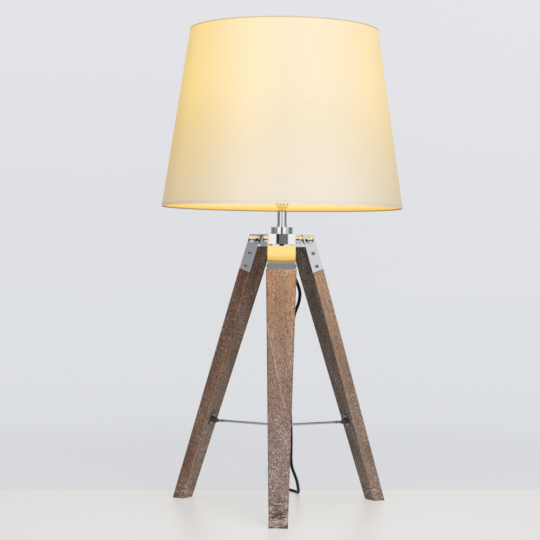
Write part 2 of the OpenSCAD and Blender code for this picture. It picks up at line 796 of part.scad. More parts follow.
module switch_base() {
    color("black") on_switch() difference() {
        rounded_block(switch_w, switch_l, switch_r, 0, switch_split_z);
        rounded_block(switch_w - 2 * switch_wall, switch_l - 2 * switch_wall, switch_r - switch_wall,
            switch_wall, switch_split_z + 1);
        switch_cord_ways();
    }
}

module switch_top() {
    opening_w = rocker_w + 2 * swing_gap;
    opening_l = rocker_l + 2 * swing_gap + 0.6;
    color("black") on_switch() difference() {
        union() {
            difference() {
                rounded_block(switch_w, switch_l, switch_r, switch_split_z, switch_h);
                rounded_block(switch_w - 2 * switch_wall, switch_l - 2 * switch_wall, switch_r - switch_wall,
                    switch_split_z - 1, switch_h - switch_wall);
            }
            for (x = [-opening_w / 2 - switch_wall, opening_w / 2])
                translate([x, -3, switch_split_z + 1]) cube([switch_wall, 6, switch_h - switch_split_z - 2]);
        }
        translate([-opening_w / 2, -opening_l / 2, switch_split_z - 2]) cube([opening_w, opening_l, switch_h]);
        translate([0, 0, rocker_pivot_z]) rotate([0, 90, 0]) translate([0, 0, -opening_w / 2 - switch_wall - 1])
            cylinder(d = rocker_pin_d + 2 * slip, h = opening_w + 2 * switch_wall + 2);
        switch_cord_ways();
    }
}

// Rocker that tips end to end, drawn tipped to its ON end
module switch_rocker() {
    half = rocker_l / 2;
    top = switch_h - rocker_pivot_z;
    pin_reach = rocker_w / 2 + swing_gap + 0.9 * switch_wall;
    color("black") on_switch() translate([0, 0, rocker_pivot_z]) rotate([rocker_tilt, 0, 0]) {
        rotate([90, 0, 90]) translate([0, 0, -rocker_w / 2]) linear_extrude(rocker_w) polygon([
            [-half + 1, -2], [half - 1, -2], [half, 0], [half - 0.3, top + 1.6], [half - 1.5, top + 2],
            [0, top + 0.9], [-half + 1.5, top + 2], [-half + 0.3, top + 1.6], [-half, 0]
        ]);
        rotate([0, 90, 0]) translate([0, 0, -pin_reach]) cylinder(d = rocker_pin_d, h = 2 * pin_reach);
    }
}

// ---------- plug ----------

module plug_body() {
    neck_w = 12;
    neck_l = 8;
    flat_l = 14;
    bevel = 2;
    color("black") translate([hank_x, plug_y0, plug_z0]) intersection() {
        linear_extrude(plug_t) polygon([
            [-neck_w / 2, 0], [neck_w / 2, 0], [neck_w / 2 + 0.5, neck_l], [plug_w / 2, plug_l - flat_l],
            [plug_w / 2, plug_l], [-plug_w / 2, plug_l], [-plug_w / 2, plug_l - flat_l], [-neck_w / 2 - 0.5, neck_l]
        ]);
        rotate([90, 0, 0]) translate([0, 0, -plug_l - 1]) linear_extrude(plug_l + 2) polygon([
            [-plug_w / 2, bevel], [-plug_w / 2 + bevel, 0], [plug_w / 2 - bevel, 0], [plug_w / 2, bevel],
            [plug_w / 2, plug_t - bevel], [plug_w / 2 - bevel, plug_t], [-plug_w / 2 + bevel, plug_t],
            [-plug_w / 2, plug_t - bevel]
        ]);
    }
}

module plug_pins() {
    color("silver") for (x = [-1, 1]) translate([hank_x + x * plug_pin_pitch / 2, plug_y1, plug_z])
        rotate([-90, 0, 0]) cylinder(d = plug_pin_d, h = plug_pin_l);
}

// ---------- pieces ----------

shade_cover();
shade_liner();
shade_top_ring();
shade_bottom_ring();
shade_arms();
shade_fitter();
clamp_ring_upper();
clamp_ring_lower();
bulb_glass();
bulb_cap();
bulb_contact();
bulb_filament();
holder_cup();
holder_nut();
holder_body();
holder_insert();
holder_screw_shell();
holder_contact();
threaded_tube();
stem_tube();
stem_collar();
hub_disc();
hub();
hub_washer();
hub_lock_nut();
leg(leg_angles[0]);  // leg_front
leg(leg_angles[1]);  // leg_right
leg(leg_angles[2]);  // leg_left
bracket(leg_angles[0]);  // bracket_front
bracket(leg_angles[1]);  // bracket_right
bracket(leg_angles[2]);  // bracket_left
hinge_bolt(leg_angles[0]);  // hinge_bolt_front
hinge_bolt(leg_angles[1]);  // hinge_bolt_right
hinge_bolt(leg_angles[2]);  // hinge_bolt_left
cap_nut(leg_angles[0]);  // cap_nut_front
cap_nut(leg_angles[1]);  // cap_nut_right
cap_nut(leg_angles[2]);  // cap_nut_left
bracket_screws(leg_angles[0]);  // bracket_screws_front
bracket_screws(leg_angles[1]);  // bracket_screws_right
bracket_screws(leg_angles[2]);  // bracket_screws_left
rod_bracket(leg_angles[0]);  // rod_bracket_front
rod_bracket(leg_angles[1]);  // rod_bracket_right
rod_bracket(leg_angles[2]);  // rod_bracket_left
rod(leg_angles[0], 330);  // rod_front
rod(leg_angles[1], 100);  // rod_right
rod(leg_angles[2], 100);  // rod_left
spreader_ring();
cord_relief();
cord_inner();
cord_drop();
cord_link();
cord_hank();
cord_tail();
hank_tie();
switch_base();
switch_top();
switch_rocker();
plug_body();
plug_pins();
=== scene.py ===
import math

import bmesh
import bpy
from mathutils import Matrix, Vector


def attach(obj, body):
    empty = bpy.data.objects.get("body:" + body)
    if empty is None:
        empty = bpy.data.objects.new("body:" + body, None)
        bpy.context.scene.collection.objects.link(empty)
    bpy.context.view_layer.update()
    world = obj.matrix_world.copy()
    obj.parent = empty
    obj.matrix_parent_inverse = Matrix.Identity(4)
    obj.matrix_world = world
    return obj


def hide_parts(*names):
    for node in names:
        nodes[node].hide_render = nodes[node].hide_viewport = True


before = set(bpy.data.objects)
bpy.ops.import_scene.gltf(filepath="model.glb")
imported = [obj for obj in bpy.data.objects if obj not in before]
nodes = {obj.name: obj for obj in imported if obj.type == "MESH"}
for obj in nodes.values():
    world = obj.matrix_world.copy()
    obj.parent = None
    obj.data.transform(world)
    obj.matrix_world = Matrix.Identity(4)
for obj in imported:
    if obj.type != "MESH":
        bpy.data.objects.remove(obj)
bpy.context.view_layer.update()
scene = bpy.context.scene
MM = 0.001

# ---------- camera ----------

CAMERA_PLACE = Vector((0, -2.221, 0.3612))
CAMERA_PITCH, CAMERA_YAW, CAMERA_ROLL = (math.radians(a) for a in (0.404, 0.426, 0.69))
CAMERA_LENS, CAMERA_SENSOR = 101.67, 36.0


def make_camera():
    """The photograph's viewpoint: level with the hub, turned a little to the left and rolled."""
    forward = Vector((
        -math.sin(CAMERA_YAW) * math.cos(CAMERA_PITCH),
        math.cos(CAMERA_YAW) * math.cos(CAMERA_PITCH),
        -math.sin(CAMERA_PITCH),
    ))
    level_right = Vector((math.cos(CAMERA_YAW), math.sin(CAMERA_YAW), 0))
    level_up = level_right.cross(forward)
    right = level_right * math.cos(CAMERA_ROLL) + level_up * math.sin(CAMERA_ROLL)
    up = level_up * math.cos(CAMERA_ROLL) - level_right * math.sin(CAMERA_ROLL)
    data = bpy.data.cameras.new("camera")
    data.lens, data.sensor_width = CAMERA_LENS, CAMERA_SENSOR
    camera = bpy.data.objects.new("camera", data)
    scene.collection.objects.link(camera)
    turn = Matrix((right, up, -forward)).transposed()
    camera.matrix_world = Matrix.Translation(CAMERA_PLACE) @ turn.to_4x4()
    scene.camera = camera


make_camera()

# ---------- cord ----------

CORD_D = 4.6
RELIEF_Z0 = 363.0
SWITCH_X, SWITCH_Y0, SWITCH_Y1, SWITCH_CORD_Z = -2, 190, 250, 8
HANK_X, HANK_Y0, HANK_RUN, HANK_FOLD_R = -2, 316, 92, 13.9
HANK_PINCH, HANK_STEP, HANK_Z0, HANK_LOOPS = 6, 5.2, 3.5, 4
HANK_Y1 = HANK_Y0 + HANK_RUN
HANK_Z1 = HANK_Z0 + HANK_LOOPS * HANK_STEP
HANK_LEFT = HANK_X - HANK_FOLD_R
PLUG_Y0 = HANK_Y0 + 54
PLUG_T = 13.7
PLUG_Z = HANK_Z1 - HANK_STEP + CORD_D / 2 + 0.35 + PLUG_T / 2
LOOP_POINTS = 24

# From the hub down behind the front leg, along the table and back to the switch, in mm
DROP_ROUTE = [
    (0, 0, RELIEF_Z0), (0, 0, 360.5), (1, 0, 354.5), (4, 0, 349.2), (8.4, 0, 345.8), (12.5, 0, 343),
    (16.6, 0, 339.6), (19.6, 0, 335), (23.2, 0, 327), (26.2, 0, 319), (27.5, 0, 311), (26.8, 0, 303),
    (25, 1, 295.5), (22, 3, 287.5), (19.5, 6, 279), (18, 10, 270), (17, 14, 261), (16, 18, 248),
    (15, 22, 232), (14, 25.5, 214), (13.5, 28, 194), (13.5, 29, 173), (14.5, 29.5, 152), (16, 30, 131),
    (17, 31, 113), (17.6, 33.5, 96), (17.6, 37.5, 78), (17.8, 42, 63), (19.3, 46.5, 52.5), (22, 53, 44),
    (25, 62, 35.5), (27.5, 74, 26.5), (29, 87, 18), (30, 100, 10.5), (30, 112, 5.2), (29, 124, 2.8),
    (26, 136, 2.4), (20.5, 147, 2.4), (13, 156, 2.6), (5, 164.5, 3.8), (-0.2, 173, 5.8), (-2, 181, 7.5),
    (-2, 186, 8), (-2, 190, 8),
]


def eased(a, b, steps=6):
    """Points on the way from a to b along Y, which leave and arrive straight."""
    points = []
    for i in range(steps + 1):
        v = i / steps
        w = (1 - math.cos(math.pi * v)) / 2
        points.append((a[0] + (b[0] - a[0]) * w, a[1] + (b[1] - a[1]) * v, a[2] + (b[2] - a[2]) * w))
    return points


def hank_point(i):
    """A point of the hank: its loops go up the left run, down the right one and climb at the near fold."""
    turn, place = divmod(i, LOOP_POINTS)
    side, v = divmod(place * 4 / LOOP_POINTS, 1)
    run_x = HANK_FOLD_R - HANK_PINCH * (1 - math.cos(2 * math.pi * v)) / 2
    fold = math.pi * (1 - v)
    climb = v * v * (3 - 2 * v) if side == 3 else 0
    x, y = [
        (-run_x, HANK_Y0 + v * HANK_RUN),
        (HANK_FOLD_R * math.cos(fold), HANK_Y1 + HANK_FOLD_R * math.sin(fold)),
        (run_x, HANK_Y1 - v * HANK_RUN),
        (-HANK_FOLD_R * math.cos(fold), HANK_Y0 - HANK_FOLD_R * math.sin(fold)),
    ][int(side)]
    return HANK_X + x, y, HANK_Z0 + (turn + climb) * HANK_STEP


def cord_route():
    link = eased((SWITCH_X, SWITCH_Y1 + 5, SWITCH_CORD_Z), (HANK_LEFT, HANK_Y0 - 2 * CORD_D, HANK_Z0))
    hank = [hank_point(i) for i in range(HANK_LOOPS * LOOP_POINTS + 1)]
    tail = eased((HANK_LEFT, HANK_Y0 + 2 * CORD_D, HANK_Z1), (HANK_X, PLUG_Y0 - 4, PLUG_Z))
    return (
        DROP_ROUTE + [(SWITCH_X, 220, SWITCH_CORD_Z), (SWITCH_X, SWITCH_Y1, SWITCH_CORD_Z)]
        + link + [(HANK_LEFT, HANK_Y0 - CORD_D, HANK_Z0)] + hank
        + [(HANK_LEFT, HANK_Y0 + CORD_D, HANK_Z1)] + tail + [(HANK_X, PLUG_Y0, PLUG_Z)]
    )


def smooth_line(points, steps=6):
    """A finer line through the points, by Catmull-Rom spans, in metres."""
    p = [Vector(q) * MM for q in points]
    line = [p[0]]
    for i in range(len(p) - 1):
        a, b, c, d = p[max(i - 1, 0)], p[i], p[i + 1], p[min(i + 2, len(p) - 1)]
        for k in range(1, steps + 1):
            t = k / steps
            line.append(0.5 * ((2 * b) + (c - a) * t + (2 * a - 5 * b + 4 * c - d) * t * t
                               + (3 * b - a - 3 * c + d) * t ** 3))
    return line


def line_length(line):
    return sum((b - a).length for a, b in zip(line, line[1:]))


def add_piece(name, shape_or_data, body, slot, *instead_of):
    """Puts a finished bmesh or mesh into the scene as a piece that rides on a body."""
    data = shape_or_data
    if isinstance(shape_or_data, bmesh.types.BMesh):
        data = bpy.data.meshes.new(name)
        shape_or_data.to_mesh(data)
        shape_or_data.free()
    piece = bpy.data.objects.new(name, data)
    scene.collection.objects.link(piece)
    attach(piece, body)
    if instead_of:
        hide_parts(*instead_of)
    return piece


def make_cord(line):
    """A round tube along the line, made by a curve and kept as a mesh."""
    curve = bpy.data.curves.new("mains_cord_line", "CURVE")
    curve.dimensions = "3D"
    curve.bevel_depth = CORD_D / 2 * MM
    curve.bevel_resolution = 4
    curve.use_fill_caps = True
    spline = curve.splines.new("POLY")
    spline.points.add(len(line) - 1)
    for point, place in zip(spline.points, line):
        point.co = (*place, 1)
    holder = bpy.data.objects.new("mains_cord_line", curve)
    scene.collection.objects.link(holder)
    data = bpy.data.meshes.new_from_object(holder.evaluated_get(bpy.context.evaluated_depsgraph_get()))
    data.name = "mains_cord"
    bpy.data.objects.remove(holder)
    bpy.data.curves.remove(curve)
    for polygon in data.polygons:
        polygon.use_smooth = True
    return add_piece("mains_cord", data, "hub", "cord_black", "cord_drop", "cord_link", "cord_hank", "cord_tail")


cord_line = smooth_line(cord_route())
mains_cord = make_cord(cord_line)
line_length(cord_line)

# ---------- materials ----------


def linear(r, g, b):
    """A colour given in screen values from 0 to 255, as the shader wants it."""
    def one(v):
        v /= 255
        return v / 12.92 if v <= 0.04045 else ((v + 0.055) / 1.055) ** 2.4
    return one(r), one(g), one(b), 1.0


class Signal:
    """A socket that arithmetic on it turns into Math nodes."""

    def __init__(self, build, socket):
        self.build, self.socket = build, socket

    def _math(self, operation, *values):
        return self.build.add("Math", {"operation": operation}, dict(enumerate(values)))

    def __add__(self, other): return self._math("ADD", self, other)
    def __radd__(self, other): return self._math("ADD", other, self)
    def __sub__(self, other): return self._math("SUBTRACT", self, other)
    def __rsub__(self, other): return self._math("SUBTRACT", other, self)
    def __mul__(self, other): return self._math("MULTIPLY", self, other)
    def __rmul__(self, other): return self._math("MULTIPLY", other, self)
    def __truediv__(self, other): return self._math("DIVIDE", self, other)
    def __neg__(self): return self._math("MULTIPLY", self, -1)
    def __abs__(self): return self._math("ABSOLUTE", self)
    def sin(self): return self._math("SINE", self)
    def least(self, other): return self._math("MINIMUM", self, other)
    def most(self, other): return self._math("MAXIMUM", self, other)
    def angle(self, other): return self._math("ARCTAN2", self, other)

    def rise(self, low, high):
        """0 below low, 1 above high, smooth between them."""
        return self.build.add("MapRange", {"interpolation_type": "SMOOTHSTEP"},
                              {"Value": self, "From Min": low, "From Max": high})


class Build:
    """A material, or the world, that is being built from nodes."""

    def __init__(self, name, owner=None):
        self.material = owner or bpy.data.materials.new(name)
        self.material.use_nodes = True
        self.tree = self.material.node_tree
        self.tree.nodes.clear()

    def add(self, kind, settings=None, inputs=None, out=0):
        node = self.tree.nodes.new("ShaderNode" + kind)
        for name, value in (settings or {}).items():
            if name == "stops":
                for i, (place, colour) in enumerate(value):
                    stops = node.color_ramp.elements
                    stop = stops[i] if i < len(stops) else stops.new(place)
                    stop.position, stop.color = place, colour
            else:
                setattr(node, name, value)
        for key, value in (inputs or {}).items():
            if isinstance(value, Signal):
                self.tree.links.new(value.socket, node.inputs[key])
            else:
                node.inputs[key].default_value = value
        return Signal(self, node.outputs[out] if node.outputs else None)

    def place(self):
        return self.add("TexCoord", out="Object")

    def level(self, value, stops):
        """A grey level that steps or fades with a value from 0 to 1."""
        ramp = self.add("ValToRGB", {"stops": [(at, (v, v, v, 1)) for at, v in stops]}, {0: value})
        return self.dot(ramp, (1, 0, 0))

    def dot(self, a, direction):
        return self.add("VectorMath", {"operation": "DOT_PRODUCT"}, {0: a, 1: direction}, out="Value")

    def vector(self, x, y, z):
        return self.add("CombineXYZ", inputs={0: x, 1: y, 2: z})

    def noise(self, vector, scale, detail=3.0, rough=0.5, distortion=0.0):
        return self.add("TexNoise", inputs={"Vector": vector, "Scale": scale, "Detail": detail,
                                            "Roughness": rough, "Distortion": distortion})

    def mix(self, share, a, b, blend="MIX"):
        return self.add("Mix", {"data_type": "RGBA", "blend_type": blend}, {0: share, 6: a, 7: b}, out=2)

    def bump(self, height, depth, strength=1.0):
        return self.add("Bump", inputs={"Height": height, "Distance": depth, "Strength": strength})

    def finish(self, **inputs):
        names = {k.replace("_", " "): v for k, v in inputs.items()}
        surface = self.add("BsdfPrincipled", inputs=names)
        self.add("OutputMaterial", inputs={"Surface": surface})
        return self.material


CHROME_TONE = (0.85, 0.86, 0.88, 1)
CHROME_ROUGHNESS = 0.01


def metal(name, colour, roughness, scratch=0.0):
    """Polished or drawn metal: a little smearing of the gloss, and fine marks where it is not a mirror."""
    m = Build(name)
    p = m.place()
    smear = m.noise(p, 60.0, 4.0)
    surface = {"Normal": m.bump(m.noise(p, 900.0, 2.0), 0.00002, scratch)} if scratch else {}
    return m.finish(
        Base_Color=colour, Metallic=1.0, Roughness=roughness + (smear - 0.5) * roughness * 0.8, **surface,
    )


def plastic(name, colour, roughness, grain, gloss=0.5):
    """Moulded plastic or rubber with a fine texture."""
    m = Build(name)
    p = m.place()
    fine = m.noise(p, 1500.0, 2.0)
    cloud = m.noise(p, 80.0, 3.0)
    return m.finish(
        Base_Color=colour, Roughness=roughness + (cloud - 0.5) * 0.12, Specular_IOR_Level=gloss,
        Normal=m.bump(fine, 0.00003, grain),
    )


# Places on a leg: _S is how far down the leg from its hinge pin
LEG_AZIMUTH = {"front": -90, "right": 30, "left": 150}
PIN_R, PIN_Z, FOOT_R = 35 * MM, 390 * MM, 168 * MM
LEG_LEAN = math.atan2(FOOT_R - PIN_R, PIN_Z)
LEG_T, LEG_TOP_W, LEG_FOOT_W, LEG_TOP_S = 18.5 * MM, 43.5 * MM, 26 * MM, 48 * MM
LEG_FLOOR_S = PIN_Z / math.cos(LEG_LEAN)


def leg_frame(side):
    """Where a leg's hinge is, and the ways down the leg, across it and straight out from the lamp."""
    a = math.radians(LEG_AZIMUTH[side])
    out = Vector((math.cos(a), math.sin(a), 0))
    across = Vector((-math.sin(a), math.cos(a), 0))
    down = out * math.sin(LEG_LEAN) - Vector((0, 0, math.cos(LEG_LEAN)))
    return out * PIN_R + Vector((0, 0, PIN_Z)), down, across, out


PLATE_TILT = math.tan(math.radians(1.8))


def steeper_plate(side):
    """Polished sheet that stands a little steeper than the leg, as its bend left it."""
    m = Build(f"polished_sheet_{side}")
    down = leg_frame(side)[1]
    return m.finish(Base_Color=CHROME_TONE, Metallic=1.0, Roughness=CHROME_ROUGHNESS,
                    Normal=m.bump(m.dot(m.place(), down) * -PLATE_TILT, 1.0))


# Tones of the outer and side faces at the hinge and at the foot, and how bright the inner face is there. The
# legs' tones differ as painted light and shade on one wood; the inner-face factors are painted shade below 1 and
# painted light above 1.
WOOD_TONES_AND_PAINTED_LIGHT = {
    "front": (linear(177, 139, 110), linear(140, 115, 106), 0.8, 0.8),
    "right": (linear(164, 136, 112), linear(138, 112, 92), 0.29, 0.60),
    "left": (linear(105, 67, 46), linear(126, 91, 70), 1.38, 1.15),
}
# How much lime is in the pores, and how much more on the inner face
LIMED = {"front": (1.0, 0.0), "right": (0.9, 0.0), "left": (0.65, 0.35)}
# Colour of each leg's long edges: partly rubbed wood, partly painted light and shade on the ridge
WOOD_EDGE_WEAR_AND_RIDGE_LIGHT = {"front": linear(84, 60, 46), "right": linear(196, 168, 146), "left": linear(176, 122, 74)}


def wood(side, seed):
    """Brown wood, limed and then rubbed: fine dark and pale specks along the grain, and chips at the foot. Each
    leg also carries painted light and shade in its tones, its inner face and its edges.
    """
    m = Build(f"worn_wood_{side}")
    top_tone, foot_tone, inner_painted_light_top, inner_painted_light_foot = WOOD_TONES_AND_PAINTED_LIGHT[side]
    limed_all, limed_inside = LIMED[side]
    pin, down, across, out = leg_frame(side)
    face = out * math.cos(LEG_LEAN) + Vector((0, 0, math.sin(LEG_LEAN)))
    p = m.add("VectorMath", {"operation": "SUBTRACT"}, {0: m.place(), 1: pin})
    # How far a point is down the leg, out of its middle plane and across it
    s, n, t = m.dot(p, down), m.dot(p, face), m.dot(p, across)
    # The grain g runs along the leg, and on the front one it slants below the bracket
    slant = (s - 0.115).most(0.0) * (-0.22 if side == "front" else 0.0)
    sway = (m.noise(m.vector(s * 4 + seed, t * 6, n * 6), 1.0, 2.0) - 0.5) * 0.02
    g = t + slant + sway
    rings = m.noise(m.vector(s * 2 + seed, g * 75, n * 75), 1.0, 3.0, 0.6)
    streaks = m.noise(m.vector(s * 18 + seed, g * 420, n * 420), 1.0, 3.0, 0.65)
    cloud = m.noise(m.vector(s * 14 + seed, t * 40, n * 40), 1.0, 3.0, 0.6)
    pores = m.noise(m.vector(s * 230, g * 900 + seed, n * 900), 1.0, 3.0, 0.75)
    specks = m.noise(m.vector(s * 400 + seed, g * 620, n * 620), 1.0, 3.0, 0.75)
    dark = pores.rise(0.48, 0.60) * (0.35 + cloud.rise(0.35, 0.7) * 0.38)
    limed = 0.30 + cloud.rise(0.62, 0.34) * 0.50 + streaks.rise(0.5, 0.7) * 0.2
    inner = (-n - LEG_T / 2).rise(-0.0012, -0.0004)
    lime = specks.rise(0.50, 0.60) * limed * (limed_all + inner * limed_inside)
    # How near a point is to a long edge, to the inner face and to the foot
    half_w = (s - LEG_TOP_S) * ((LEG_FOOT_W - LEG_TOP_W) / 2 / (LEG_FLOOR_S - LEG_TOP_S)) + LEG_TOP_W / 2
    ragged = (m.noise(m.vector(s * 60 + seed, t * 90, n * 90), 1.0, 4.0, 0.65) - 0.5) * 0.005
    edge = ((abs(t) - half_w + ragged).rise(-0.0022, -0.0002)
            * (abs(n) - LEG_T / 2 + ragged).rise(-0.0022, -0.0002))
    along = s.rise(LEG_TOP_S, LEG_FLOOR_S * 0.72)
    foot = s.rise(LEG_FLOOR_S - 0.060, LEG_FLOOR_S - 0.006)
    flake = m.noise(m.vector(s * 230 + seed, t * 70, n * 70), 1.0, 4.0, 0.7, 0.6)
    worn = foot * (1.0 if side == "front" else 0.4)
    chips = flake.rise(0.54, 0.60) * worn
    gouges = flake.rise(0.51, 0.42) * worn
    tone = m.mix(along, top_tone, foot_tone)
    # Painted shade and light on the inner face, from its factor at the hinge to its factor at the foot
    shade = 1 - inner * ((1 - inner_painted_light_top) + along * (inner_painted_light_top - inner_painted_light_foot))
    if side == "left":
        tone = m.mix(inner, tone, m.mix(1.0, tone, (0.92, 1.07, 1.18, 1), "MULTIPLY"))
        # Painted shadow of the front leg on the left leg's inner face, near the ridge below the hinge
        shade = shade * (1 - inner * (t / half_w).rise(0.0, 0.9) * s.rise(0.24, 0.15) * 0.35)
    shade = shade * (0.33 + rings * 0.72 + streaks * 0.50)
    colour = m.mix(1.0, tone, m.vector(shade, shade, shade), "MULTIPLY")
    # Warm heart wood in some of the rings, and on the front leg a pale line that ends a ring
    warm = rings.rise(0.46, 0.60) * (1 - along * 0.8)
    colour = m.mix(warm * 0.5, colour, m.mix(1.0, colour, (1.25, 0.98, 0.70, 1), "MULTIPLY"))
    if side == "front":
        ring_end = g + 0.0225 - sway * 0.6
        window = s.rise(0.118, 0.135) * s.rise(0.262, 0.245)
        line = (1 - (abs(ring_end) - 0.0002).rise(0.0, 0.0009)) * window
        colour = m.mix(ring_end.rise(0.0, -0.007) * window * 0.35, colour,
                       m.mix(1.0, colour, (1.1, 0.85, 0.65, 1), "MULTIPLY"))
        colour = m.mix(line * 0.7, colour, linear(214, 184, 152))
    colour = m.mix(dark, colour, m.mix(1.0, colour, (0.24, 0.21, 0.20, 1), "MULTIPLY"))
    colour = m.mix(lime, colour, m.mix(0.70, colour, linear(236, 226, 216)))
    # Long edges: rubbed wood with painted light and shade on the ridge, in each leg's own colour
    colour = m.mix(edge * (0.65 if side == "left" else 0.5) * (1 - along * 0.5), colour, WOOD_EDGE_WEAR_AND_RIDGE_LIGHT[side])
    colour = m.mix(gouges * 0.9, colour, linear(54, 38, 34))
    colour = m.mix(chips * 0.8, colour, linear(212, 196, 186))
    height = streaks * 0.3 - dark * 0.5 + lime * 0.2 - gouges * 1.2
    return m.finish(
        Base_Color=colour, Roughness=0.60 + dark * 0.2,
        Normal=m.bump(height, 0.0004, 0.6),
    )


SHADE_Z0, SHADE_Z1 = 436 * MM, 694 * MM
SHADE_R0, SHADE_R1 = 175 * MM, 136.5 * MM
SHADE_MEAN_R = 0.155
THREADS = 7500  # radians of the weave's waves in a metre, so a thread each 0.84 mm


def weave(m, p):
    """Height of a fine plain weave that goes round the shade, with slubs."""
    parts = m.add("SeparateXYZ", inputs={0: p})
    x, y, z = (Signal(m, parts.socket.node.outputs[i]) for i in range(3))
    round_way = y.angle(x) * SHADE_MEAN_R
    warp = (round_way * THREADS).sin()
    weft = (z * THREADS).sin()
    slub_h = m.noise(m.vector(round_way * 30, z * 900, 0.0), 1.0, 2.0)
    slub_v = m.noise(m.vector(round_way * 900, z * 30, 3.0), 1.0, 2.0)
    return warp * weft * 0.3 + slub_h * 0.9 + slub_v * 0.9, z, slub_h + slub_v


def shade_fabric(name, glow_share=1.0, tone=(0.60, 0.575, 0.54, 1), slub_tone=(0.575, 0.548, 0.51, 1)):
    """Cream woven cover with a painted glow for the bulb's light from inside: warm high up and towards the sides,
    stronger on the left. A pale painted light near the bottom stands for light from below, and painted shade
    darkens the flanks.
    """
    m = Build(name)
    p = m.place()
    height, z, slub = weave(m, p)
    up = (z - SHADE_Z0) / (SHADE_Z1 - SHADE_Z0)
    side = m.dot(p, (1, 0, 0)) / (SHADE_R0 + (SHADE_R1 - SHADE_R0) * up)
    # The glow is painted stronger on the left side than on the right
    left = (-side).most(0.0) * (1 - (-side).rise(0.82, 1.0) * 0.35)
    right = side.rise(0.40, 0.90)
    # Painted shade: the base colour is darker towards both flanks, more on the left
    painted_flank_shade = 1 - (-side).rise(0.20, 0.95) * 0.38 - side.rise(0.35, 0.95) * 0.24
    colour = m.mix((slub - 0.7).rise(0.0, 0.6), tone, slub_tone)
    colour = m.mix(1.0, colour, m.vector(painted_flank_shade, painted_flank_shade, painted_flank_shade), "MULTIPLY")
    warm = (up.rise(-0.25, 0.75) * 0.28 + 0.12) * (1 + left * 1.12 + right * 0.50) * glow_share
    warm = warm + (left + right * 0.6) * up.rise(0.45, 0.0) * 0.05
    # Pale painted light low on the shade, standing in for light thrown up from the table
    pale = up.rise(0.55, -0.1) * (0.125 + left * 0.03 - right * 0.04)
    warm_glow = m.add("VectorMath", {"operation": "SCALE"}, {0: (1.0, 0.68, 0.15), "Scale": warm}, out="Vector")
    painted_light_from_below = m.add("VectorMath", {"operation": "SCALE"}, {0: (1.0, 0.95, 0.88), "Scale": pale}, out="Vector")
    return m.finish(
        Base_Color=colour, Roughness=0.85, Normal=m.bump(height, 0.00008, 0.4),
        Emission_Color=m.add("VectorMath", inputs={0: warm_glow, 1: painted_light_from_below}, out="Vector"),
        Emission_Strength=1.0, Sheen_Weight=0.1,
    )


def shade_liner():
    """Smooth liner, bright with the bulb's light: deep yellow above the rim and paler higher up, with a painted
    shadow line at the rim and its back half painted paler just above the rim.
    """
    m = Build("liner")
    p = m.place()
    z, back = m.dot(p, (0, 0, 1)), m.dot(p, (0, 1, 0)).rise(-0.01, 0.01)
    # Painted shadow: dark brown along the lowest edge
    glow = m.mix(z.rise(0.4364, 0.4382), (0.10, 0.045, 0.005, 1), (0.78, 0.44, 0.02, 1))
    # Painted light: the back half glows paler just above the rim, and turns deep yellow higher up than the front
    # half
    glow = m.mix(z.rise(0.4385, 0.4450) * back, glow, (0.82, 0.61, 0.27, 1))
    glow = m.mix(z.rise(0.4385 + back * 0.0085, 0.4510 + back * 0.003), glow, (0.98, 0.71, 0.22, 1))
    glow = m.mix(z.rise(0.475, 0.520), glow, (0.93, 0.78, 0.48, 1))
    cloud = m.noise(p, 12.0, 2.0)
    return m.finish(
        Base_Color=(0.22, 0.20, 0.16, 1), Roughness=0.5 + cloud * 0.1,
        Emission_Color=glow, Emission_Strength=1.0,
    )


def lit(name, low, high, z0, z1):
    """Glowing glass, dimmer towards the cap."""
    m = Build(name)
    z = m.dot(m.place(), (0, 0, 1))
    return m.finish(Base_Color=linear(250, 246, 236), Roughness=0.4, Emission_Strength=1.0,
                    Emission_Color=m.mix(z.rise(z0, z1), low, high))


chrome = metal("polished_chrome", CHROME_TONE, CHROME_ROUGHNESS)
screw_metal = metal("zinc_screw", (0.44, 0.44, 0.43, 1), 0.30, 0.2)
plated = metal("plated_steel", (0.62, 0.62, 0.60, 1), 0.30, 0.3)
brass = metal("plain_brass", (0.78, 0.58, 0.26, 1), 0.28, 0.2)
drawn_wire = metal("drawn_wire", (0.47, 0.48, 0.48, 1), 0.16, 0.2)
dark_steel = metal("dark_steel", (0.20, 0.20, 0.20, 1), 0.32, 0.3)
white_wire = plastic("white_enamel", linear(238, 236, 230), 0.35, 0.1)
white_plastic = plastic("white_plastic", linear(238, 236, 228), 0.4, 0.1)
black_plastic = plastic("black_plastic", linear(24, 24, 26), 0.35, 0.5)
black_sheath = plastic("black_sheath", linear(9, 9, 10), 0.50, 0.4, 0.18)
liner = shade_liner()
# The cover and both hems carry the painted glow, the painted light from below and the painted flank shade
fabric = shade_fabric("cream_fabric")
hem_low = shade_fabric("folded_hem", 0.75, (0.62, 0.575, 0.555, 1), (0.59, 0.545, 0.52, 1))
hem_high = shade_fabric("folded_hem_over_wire", 0.6, (0.50, 0.455, 0.395, 1), (0.46, 0.41, 0.35, 1))

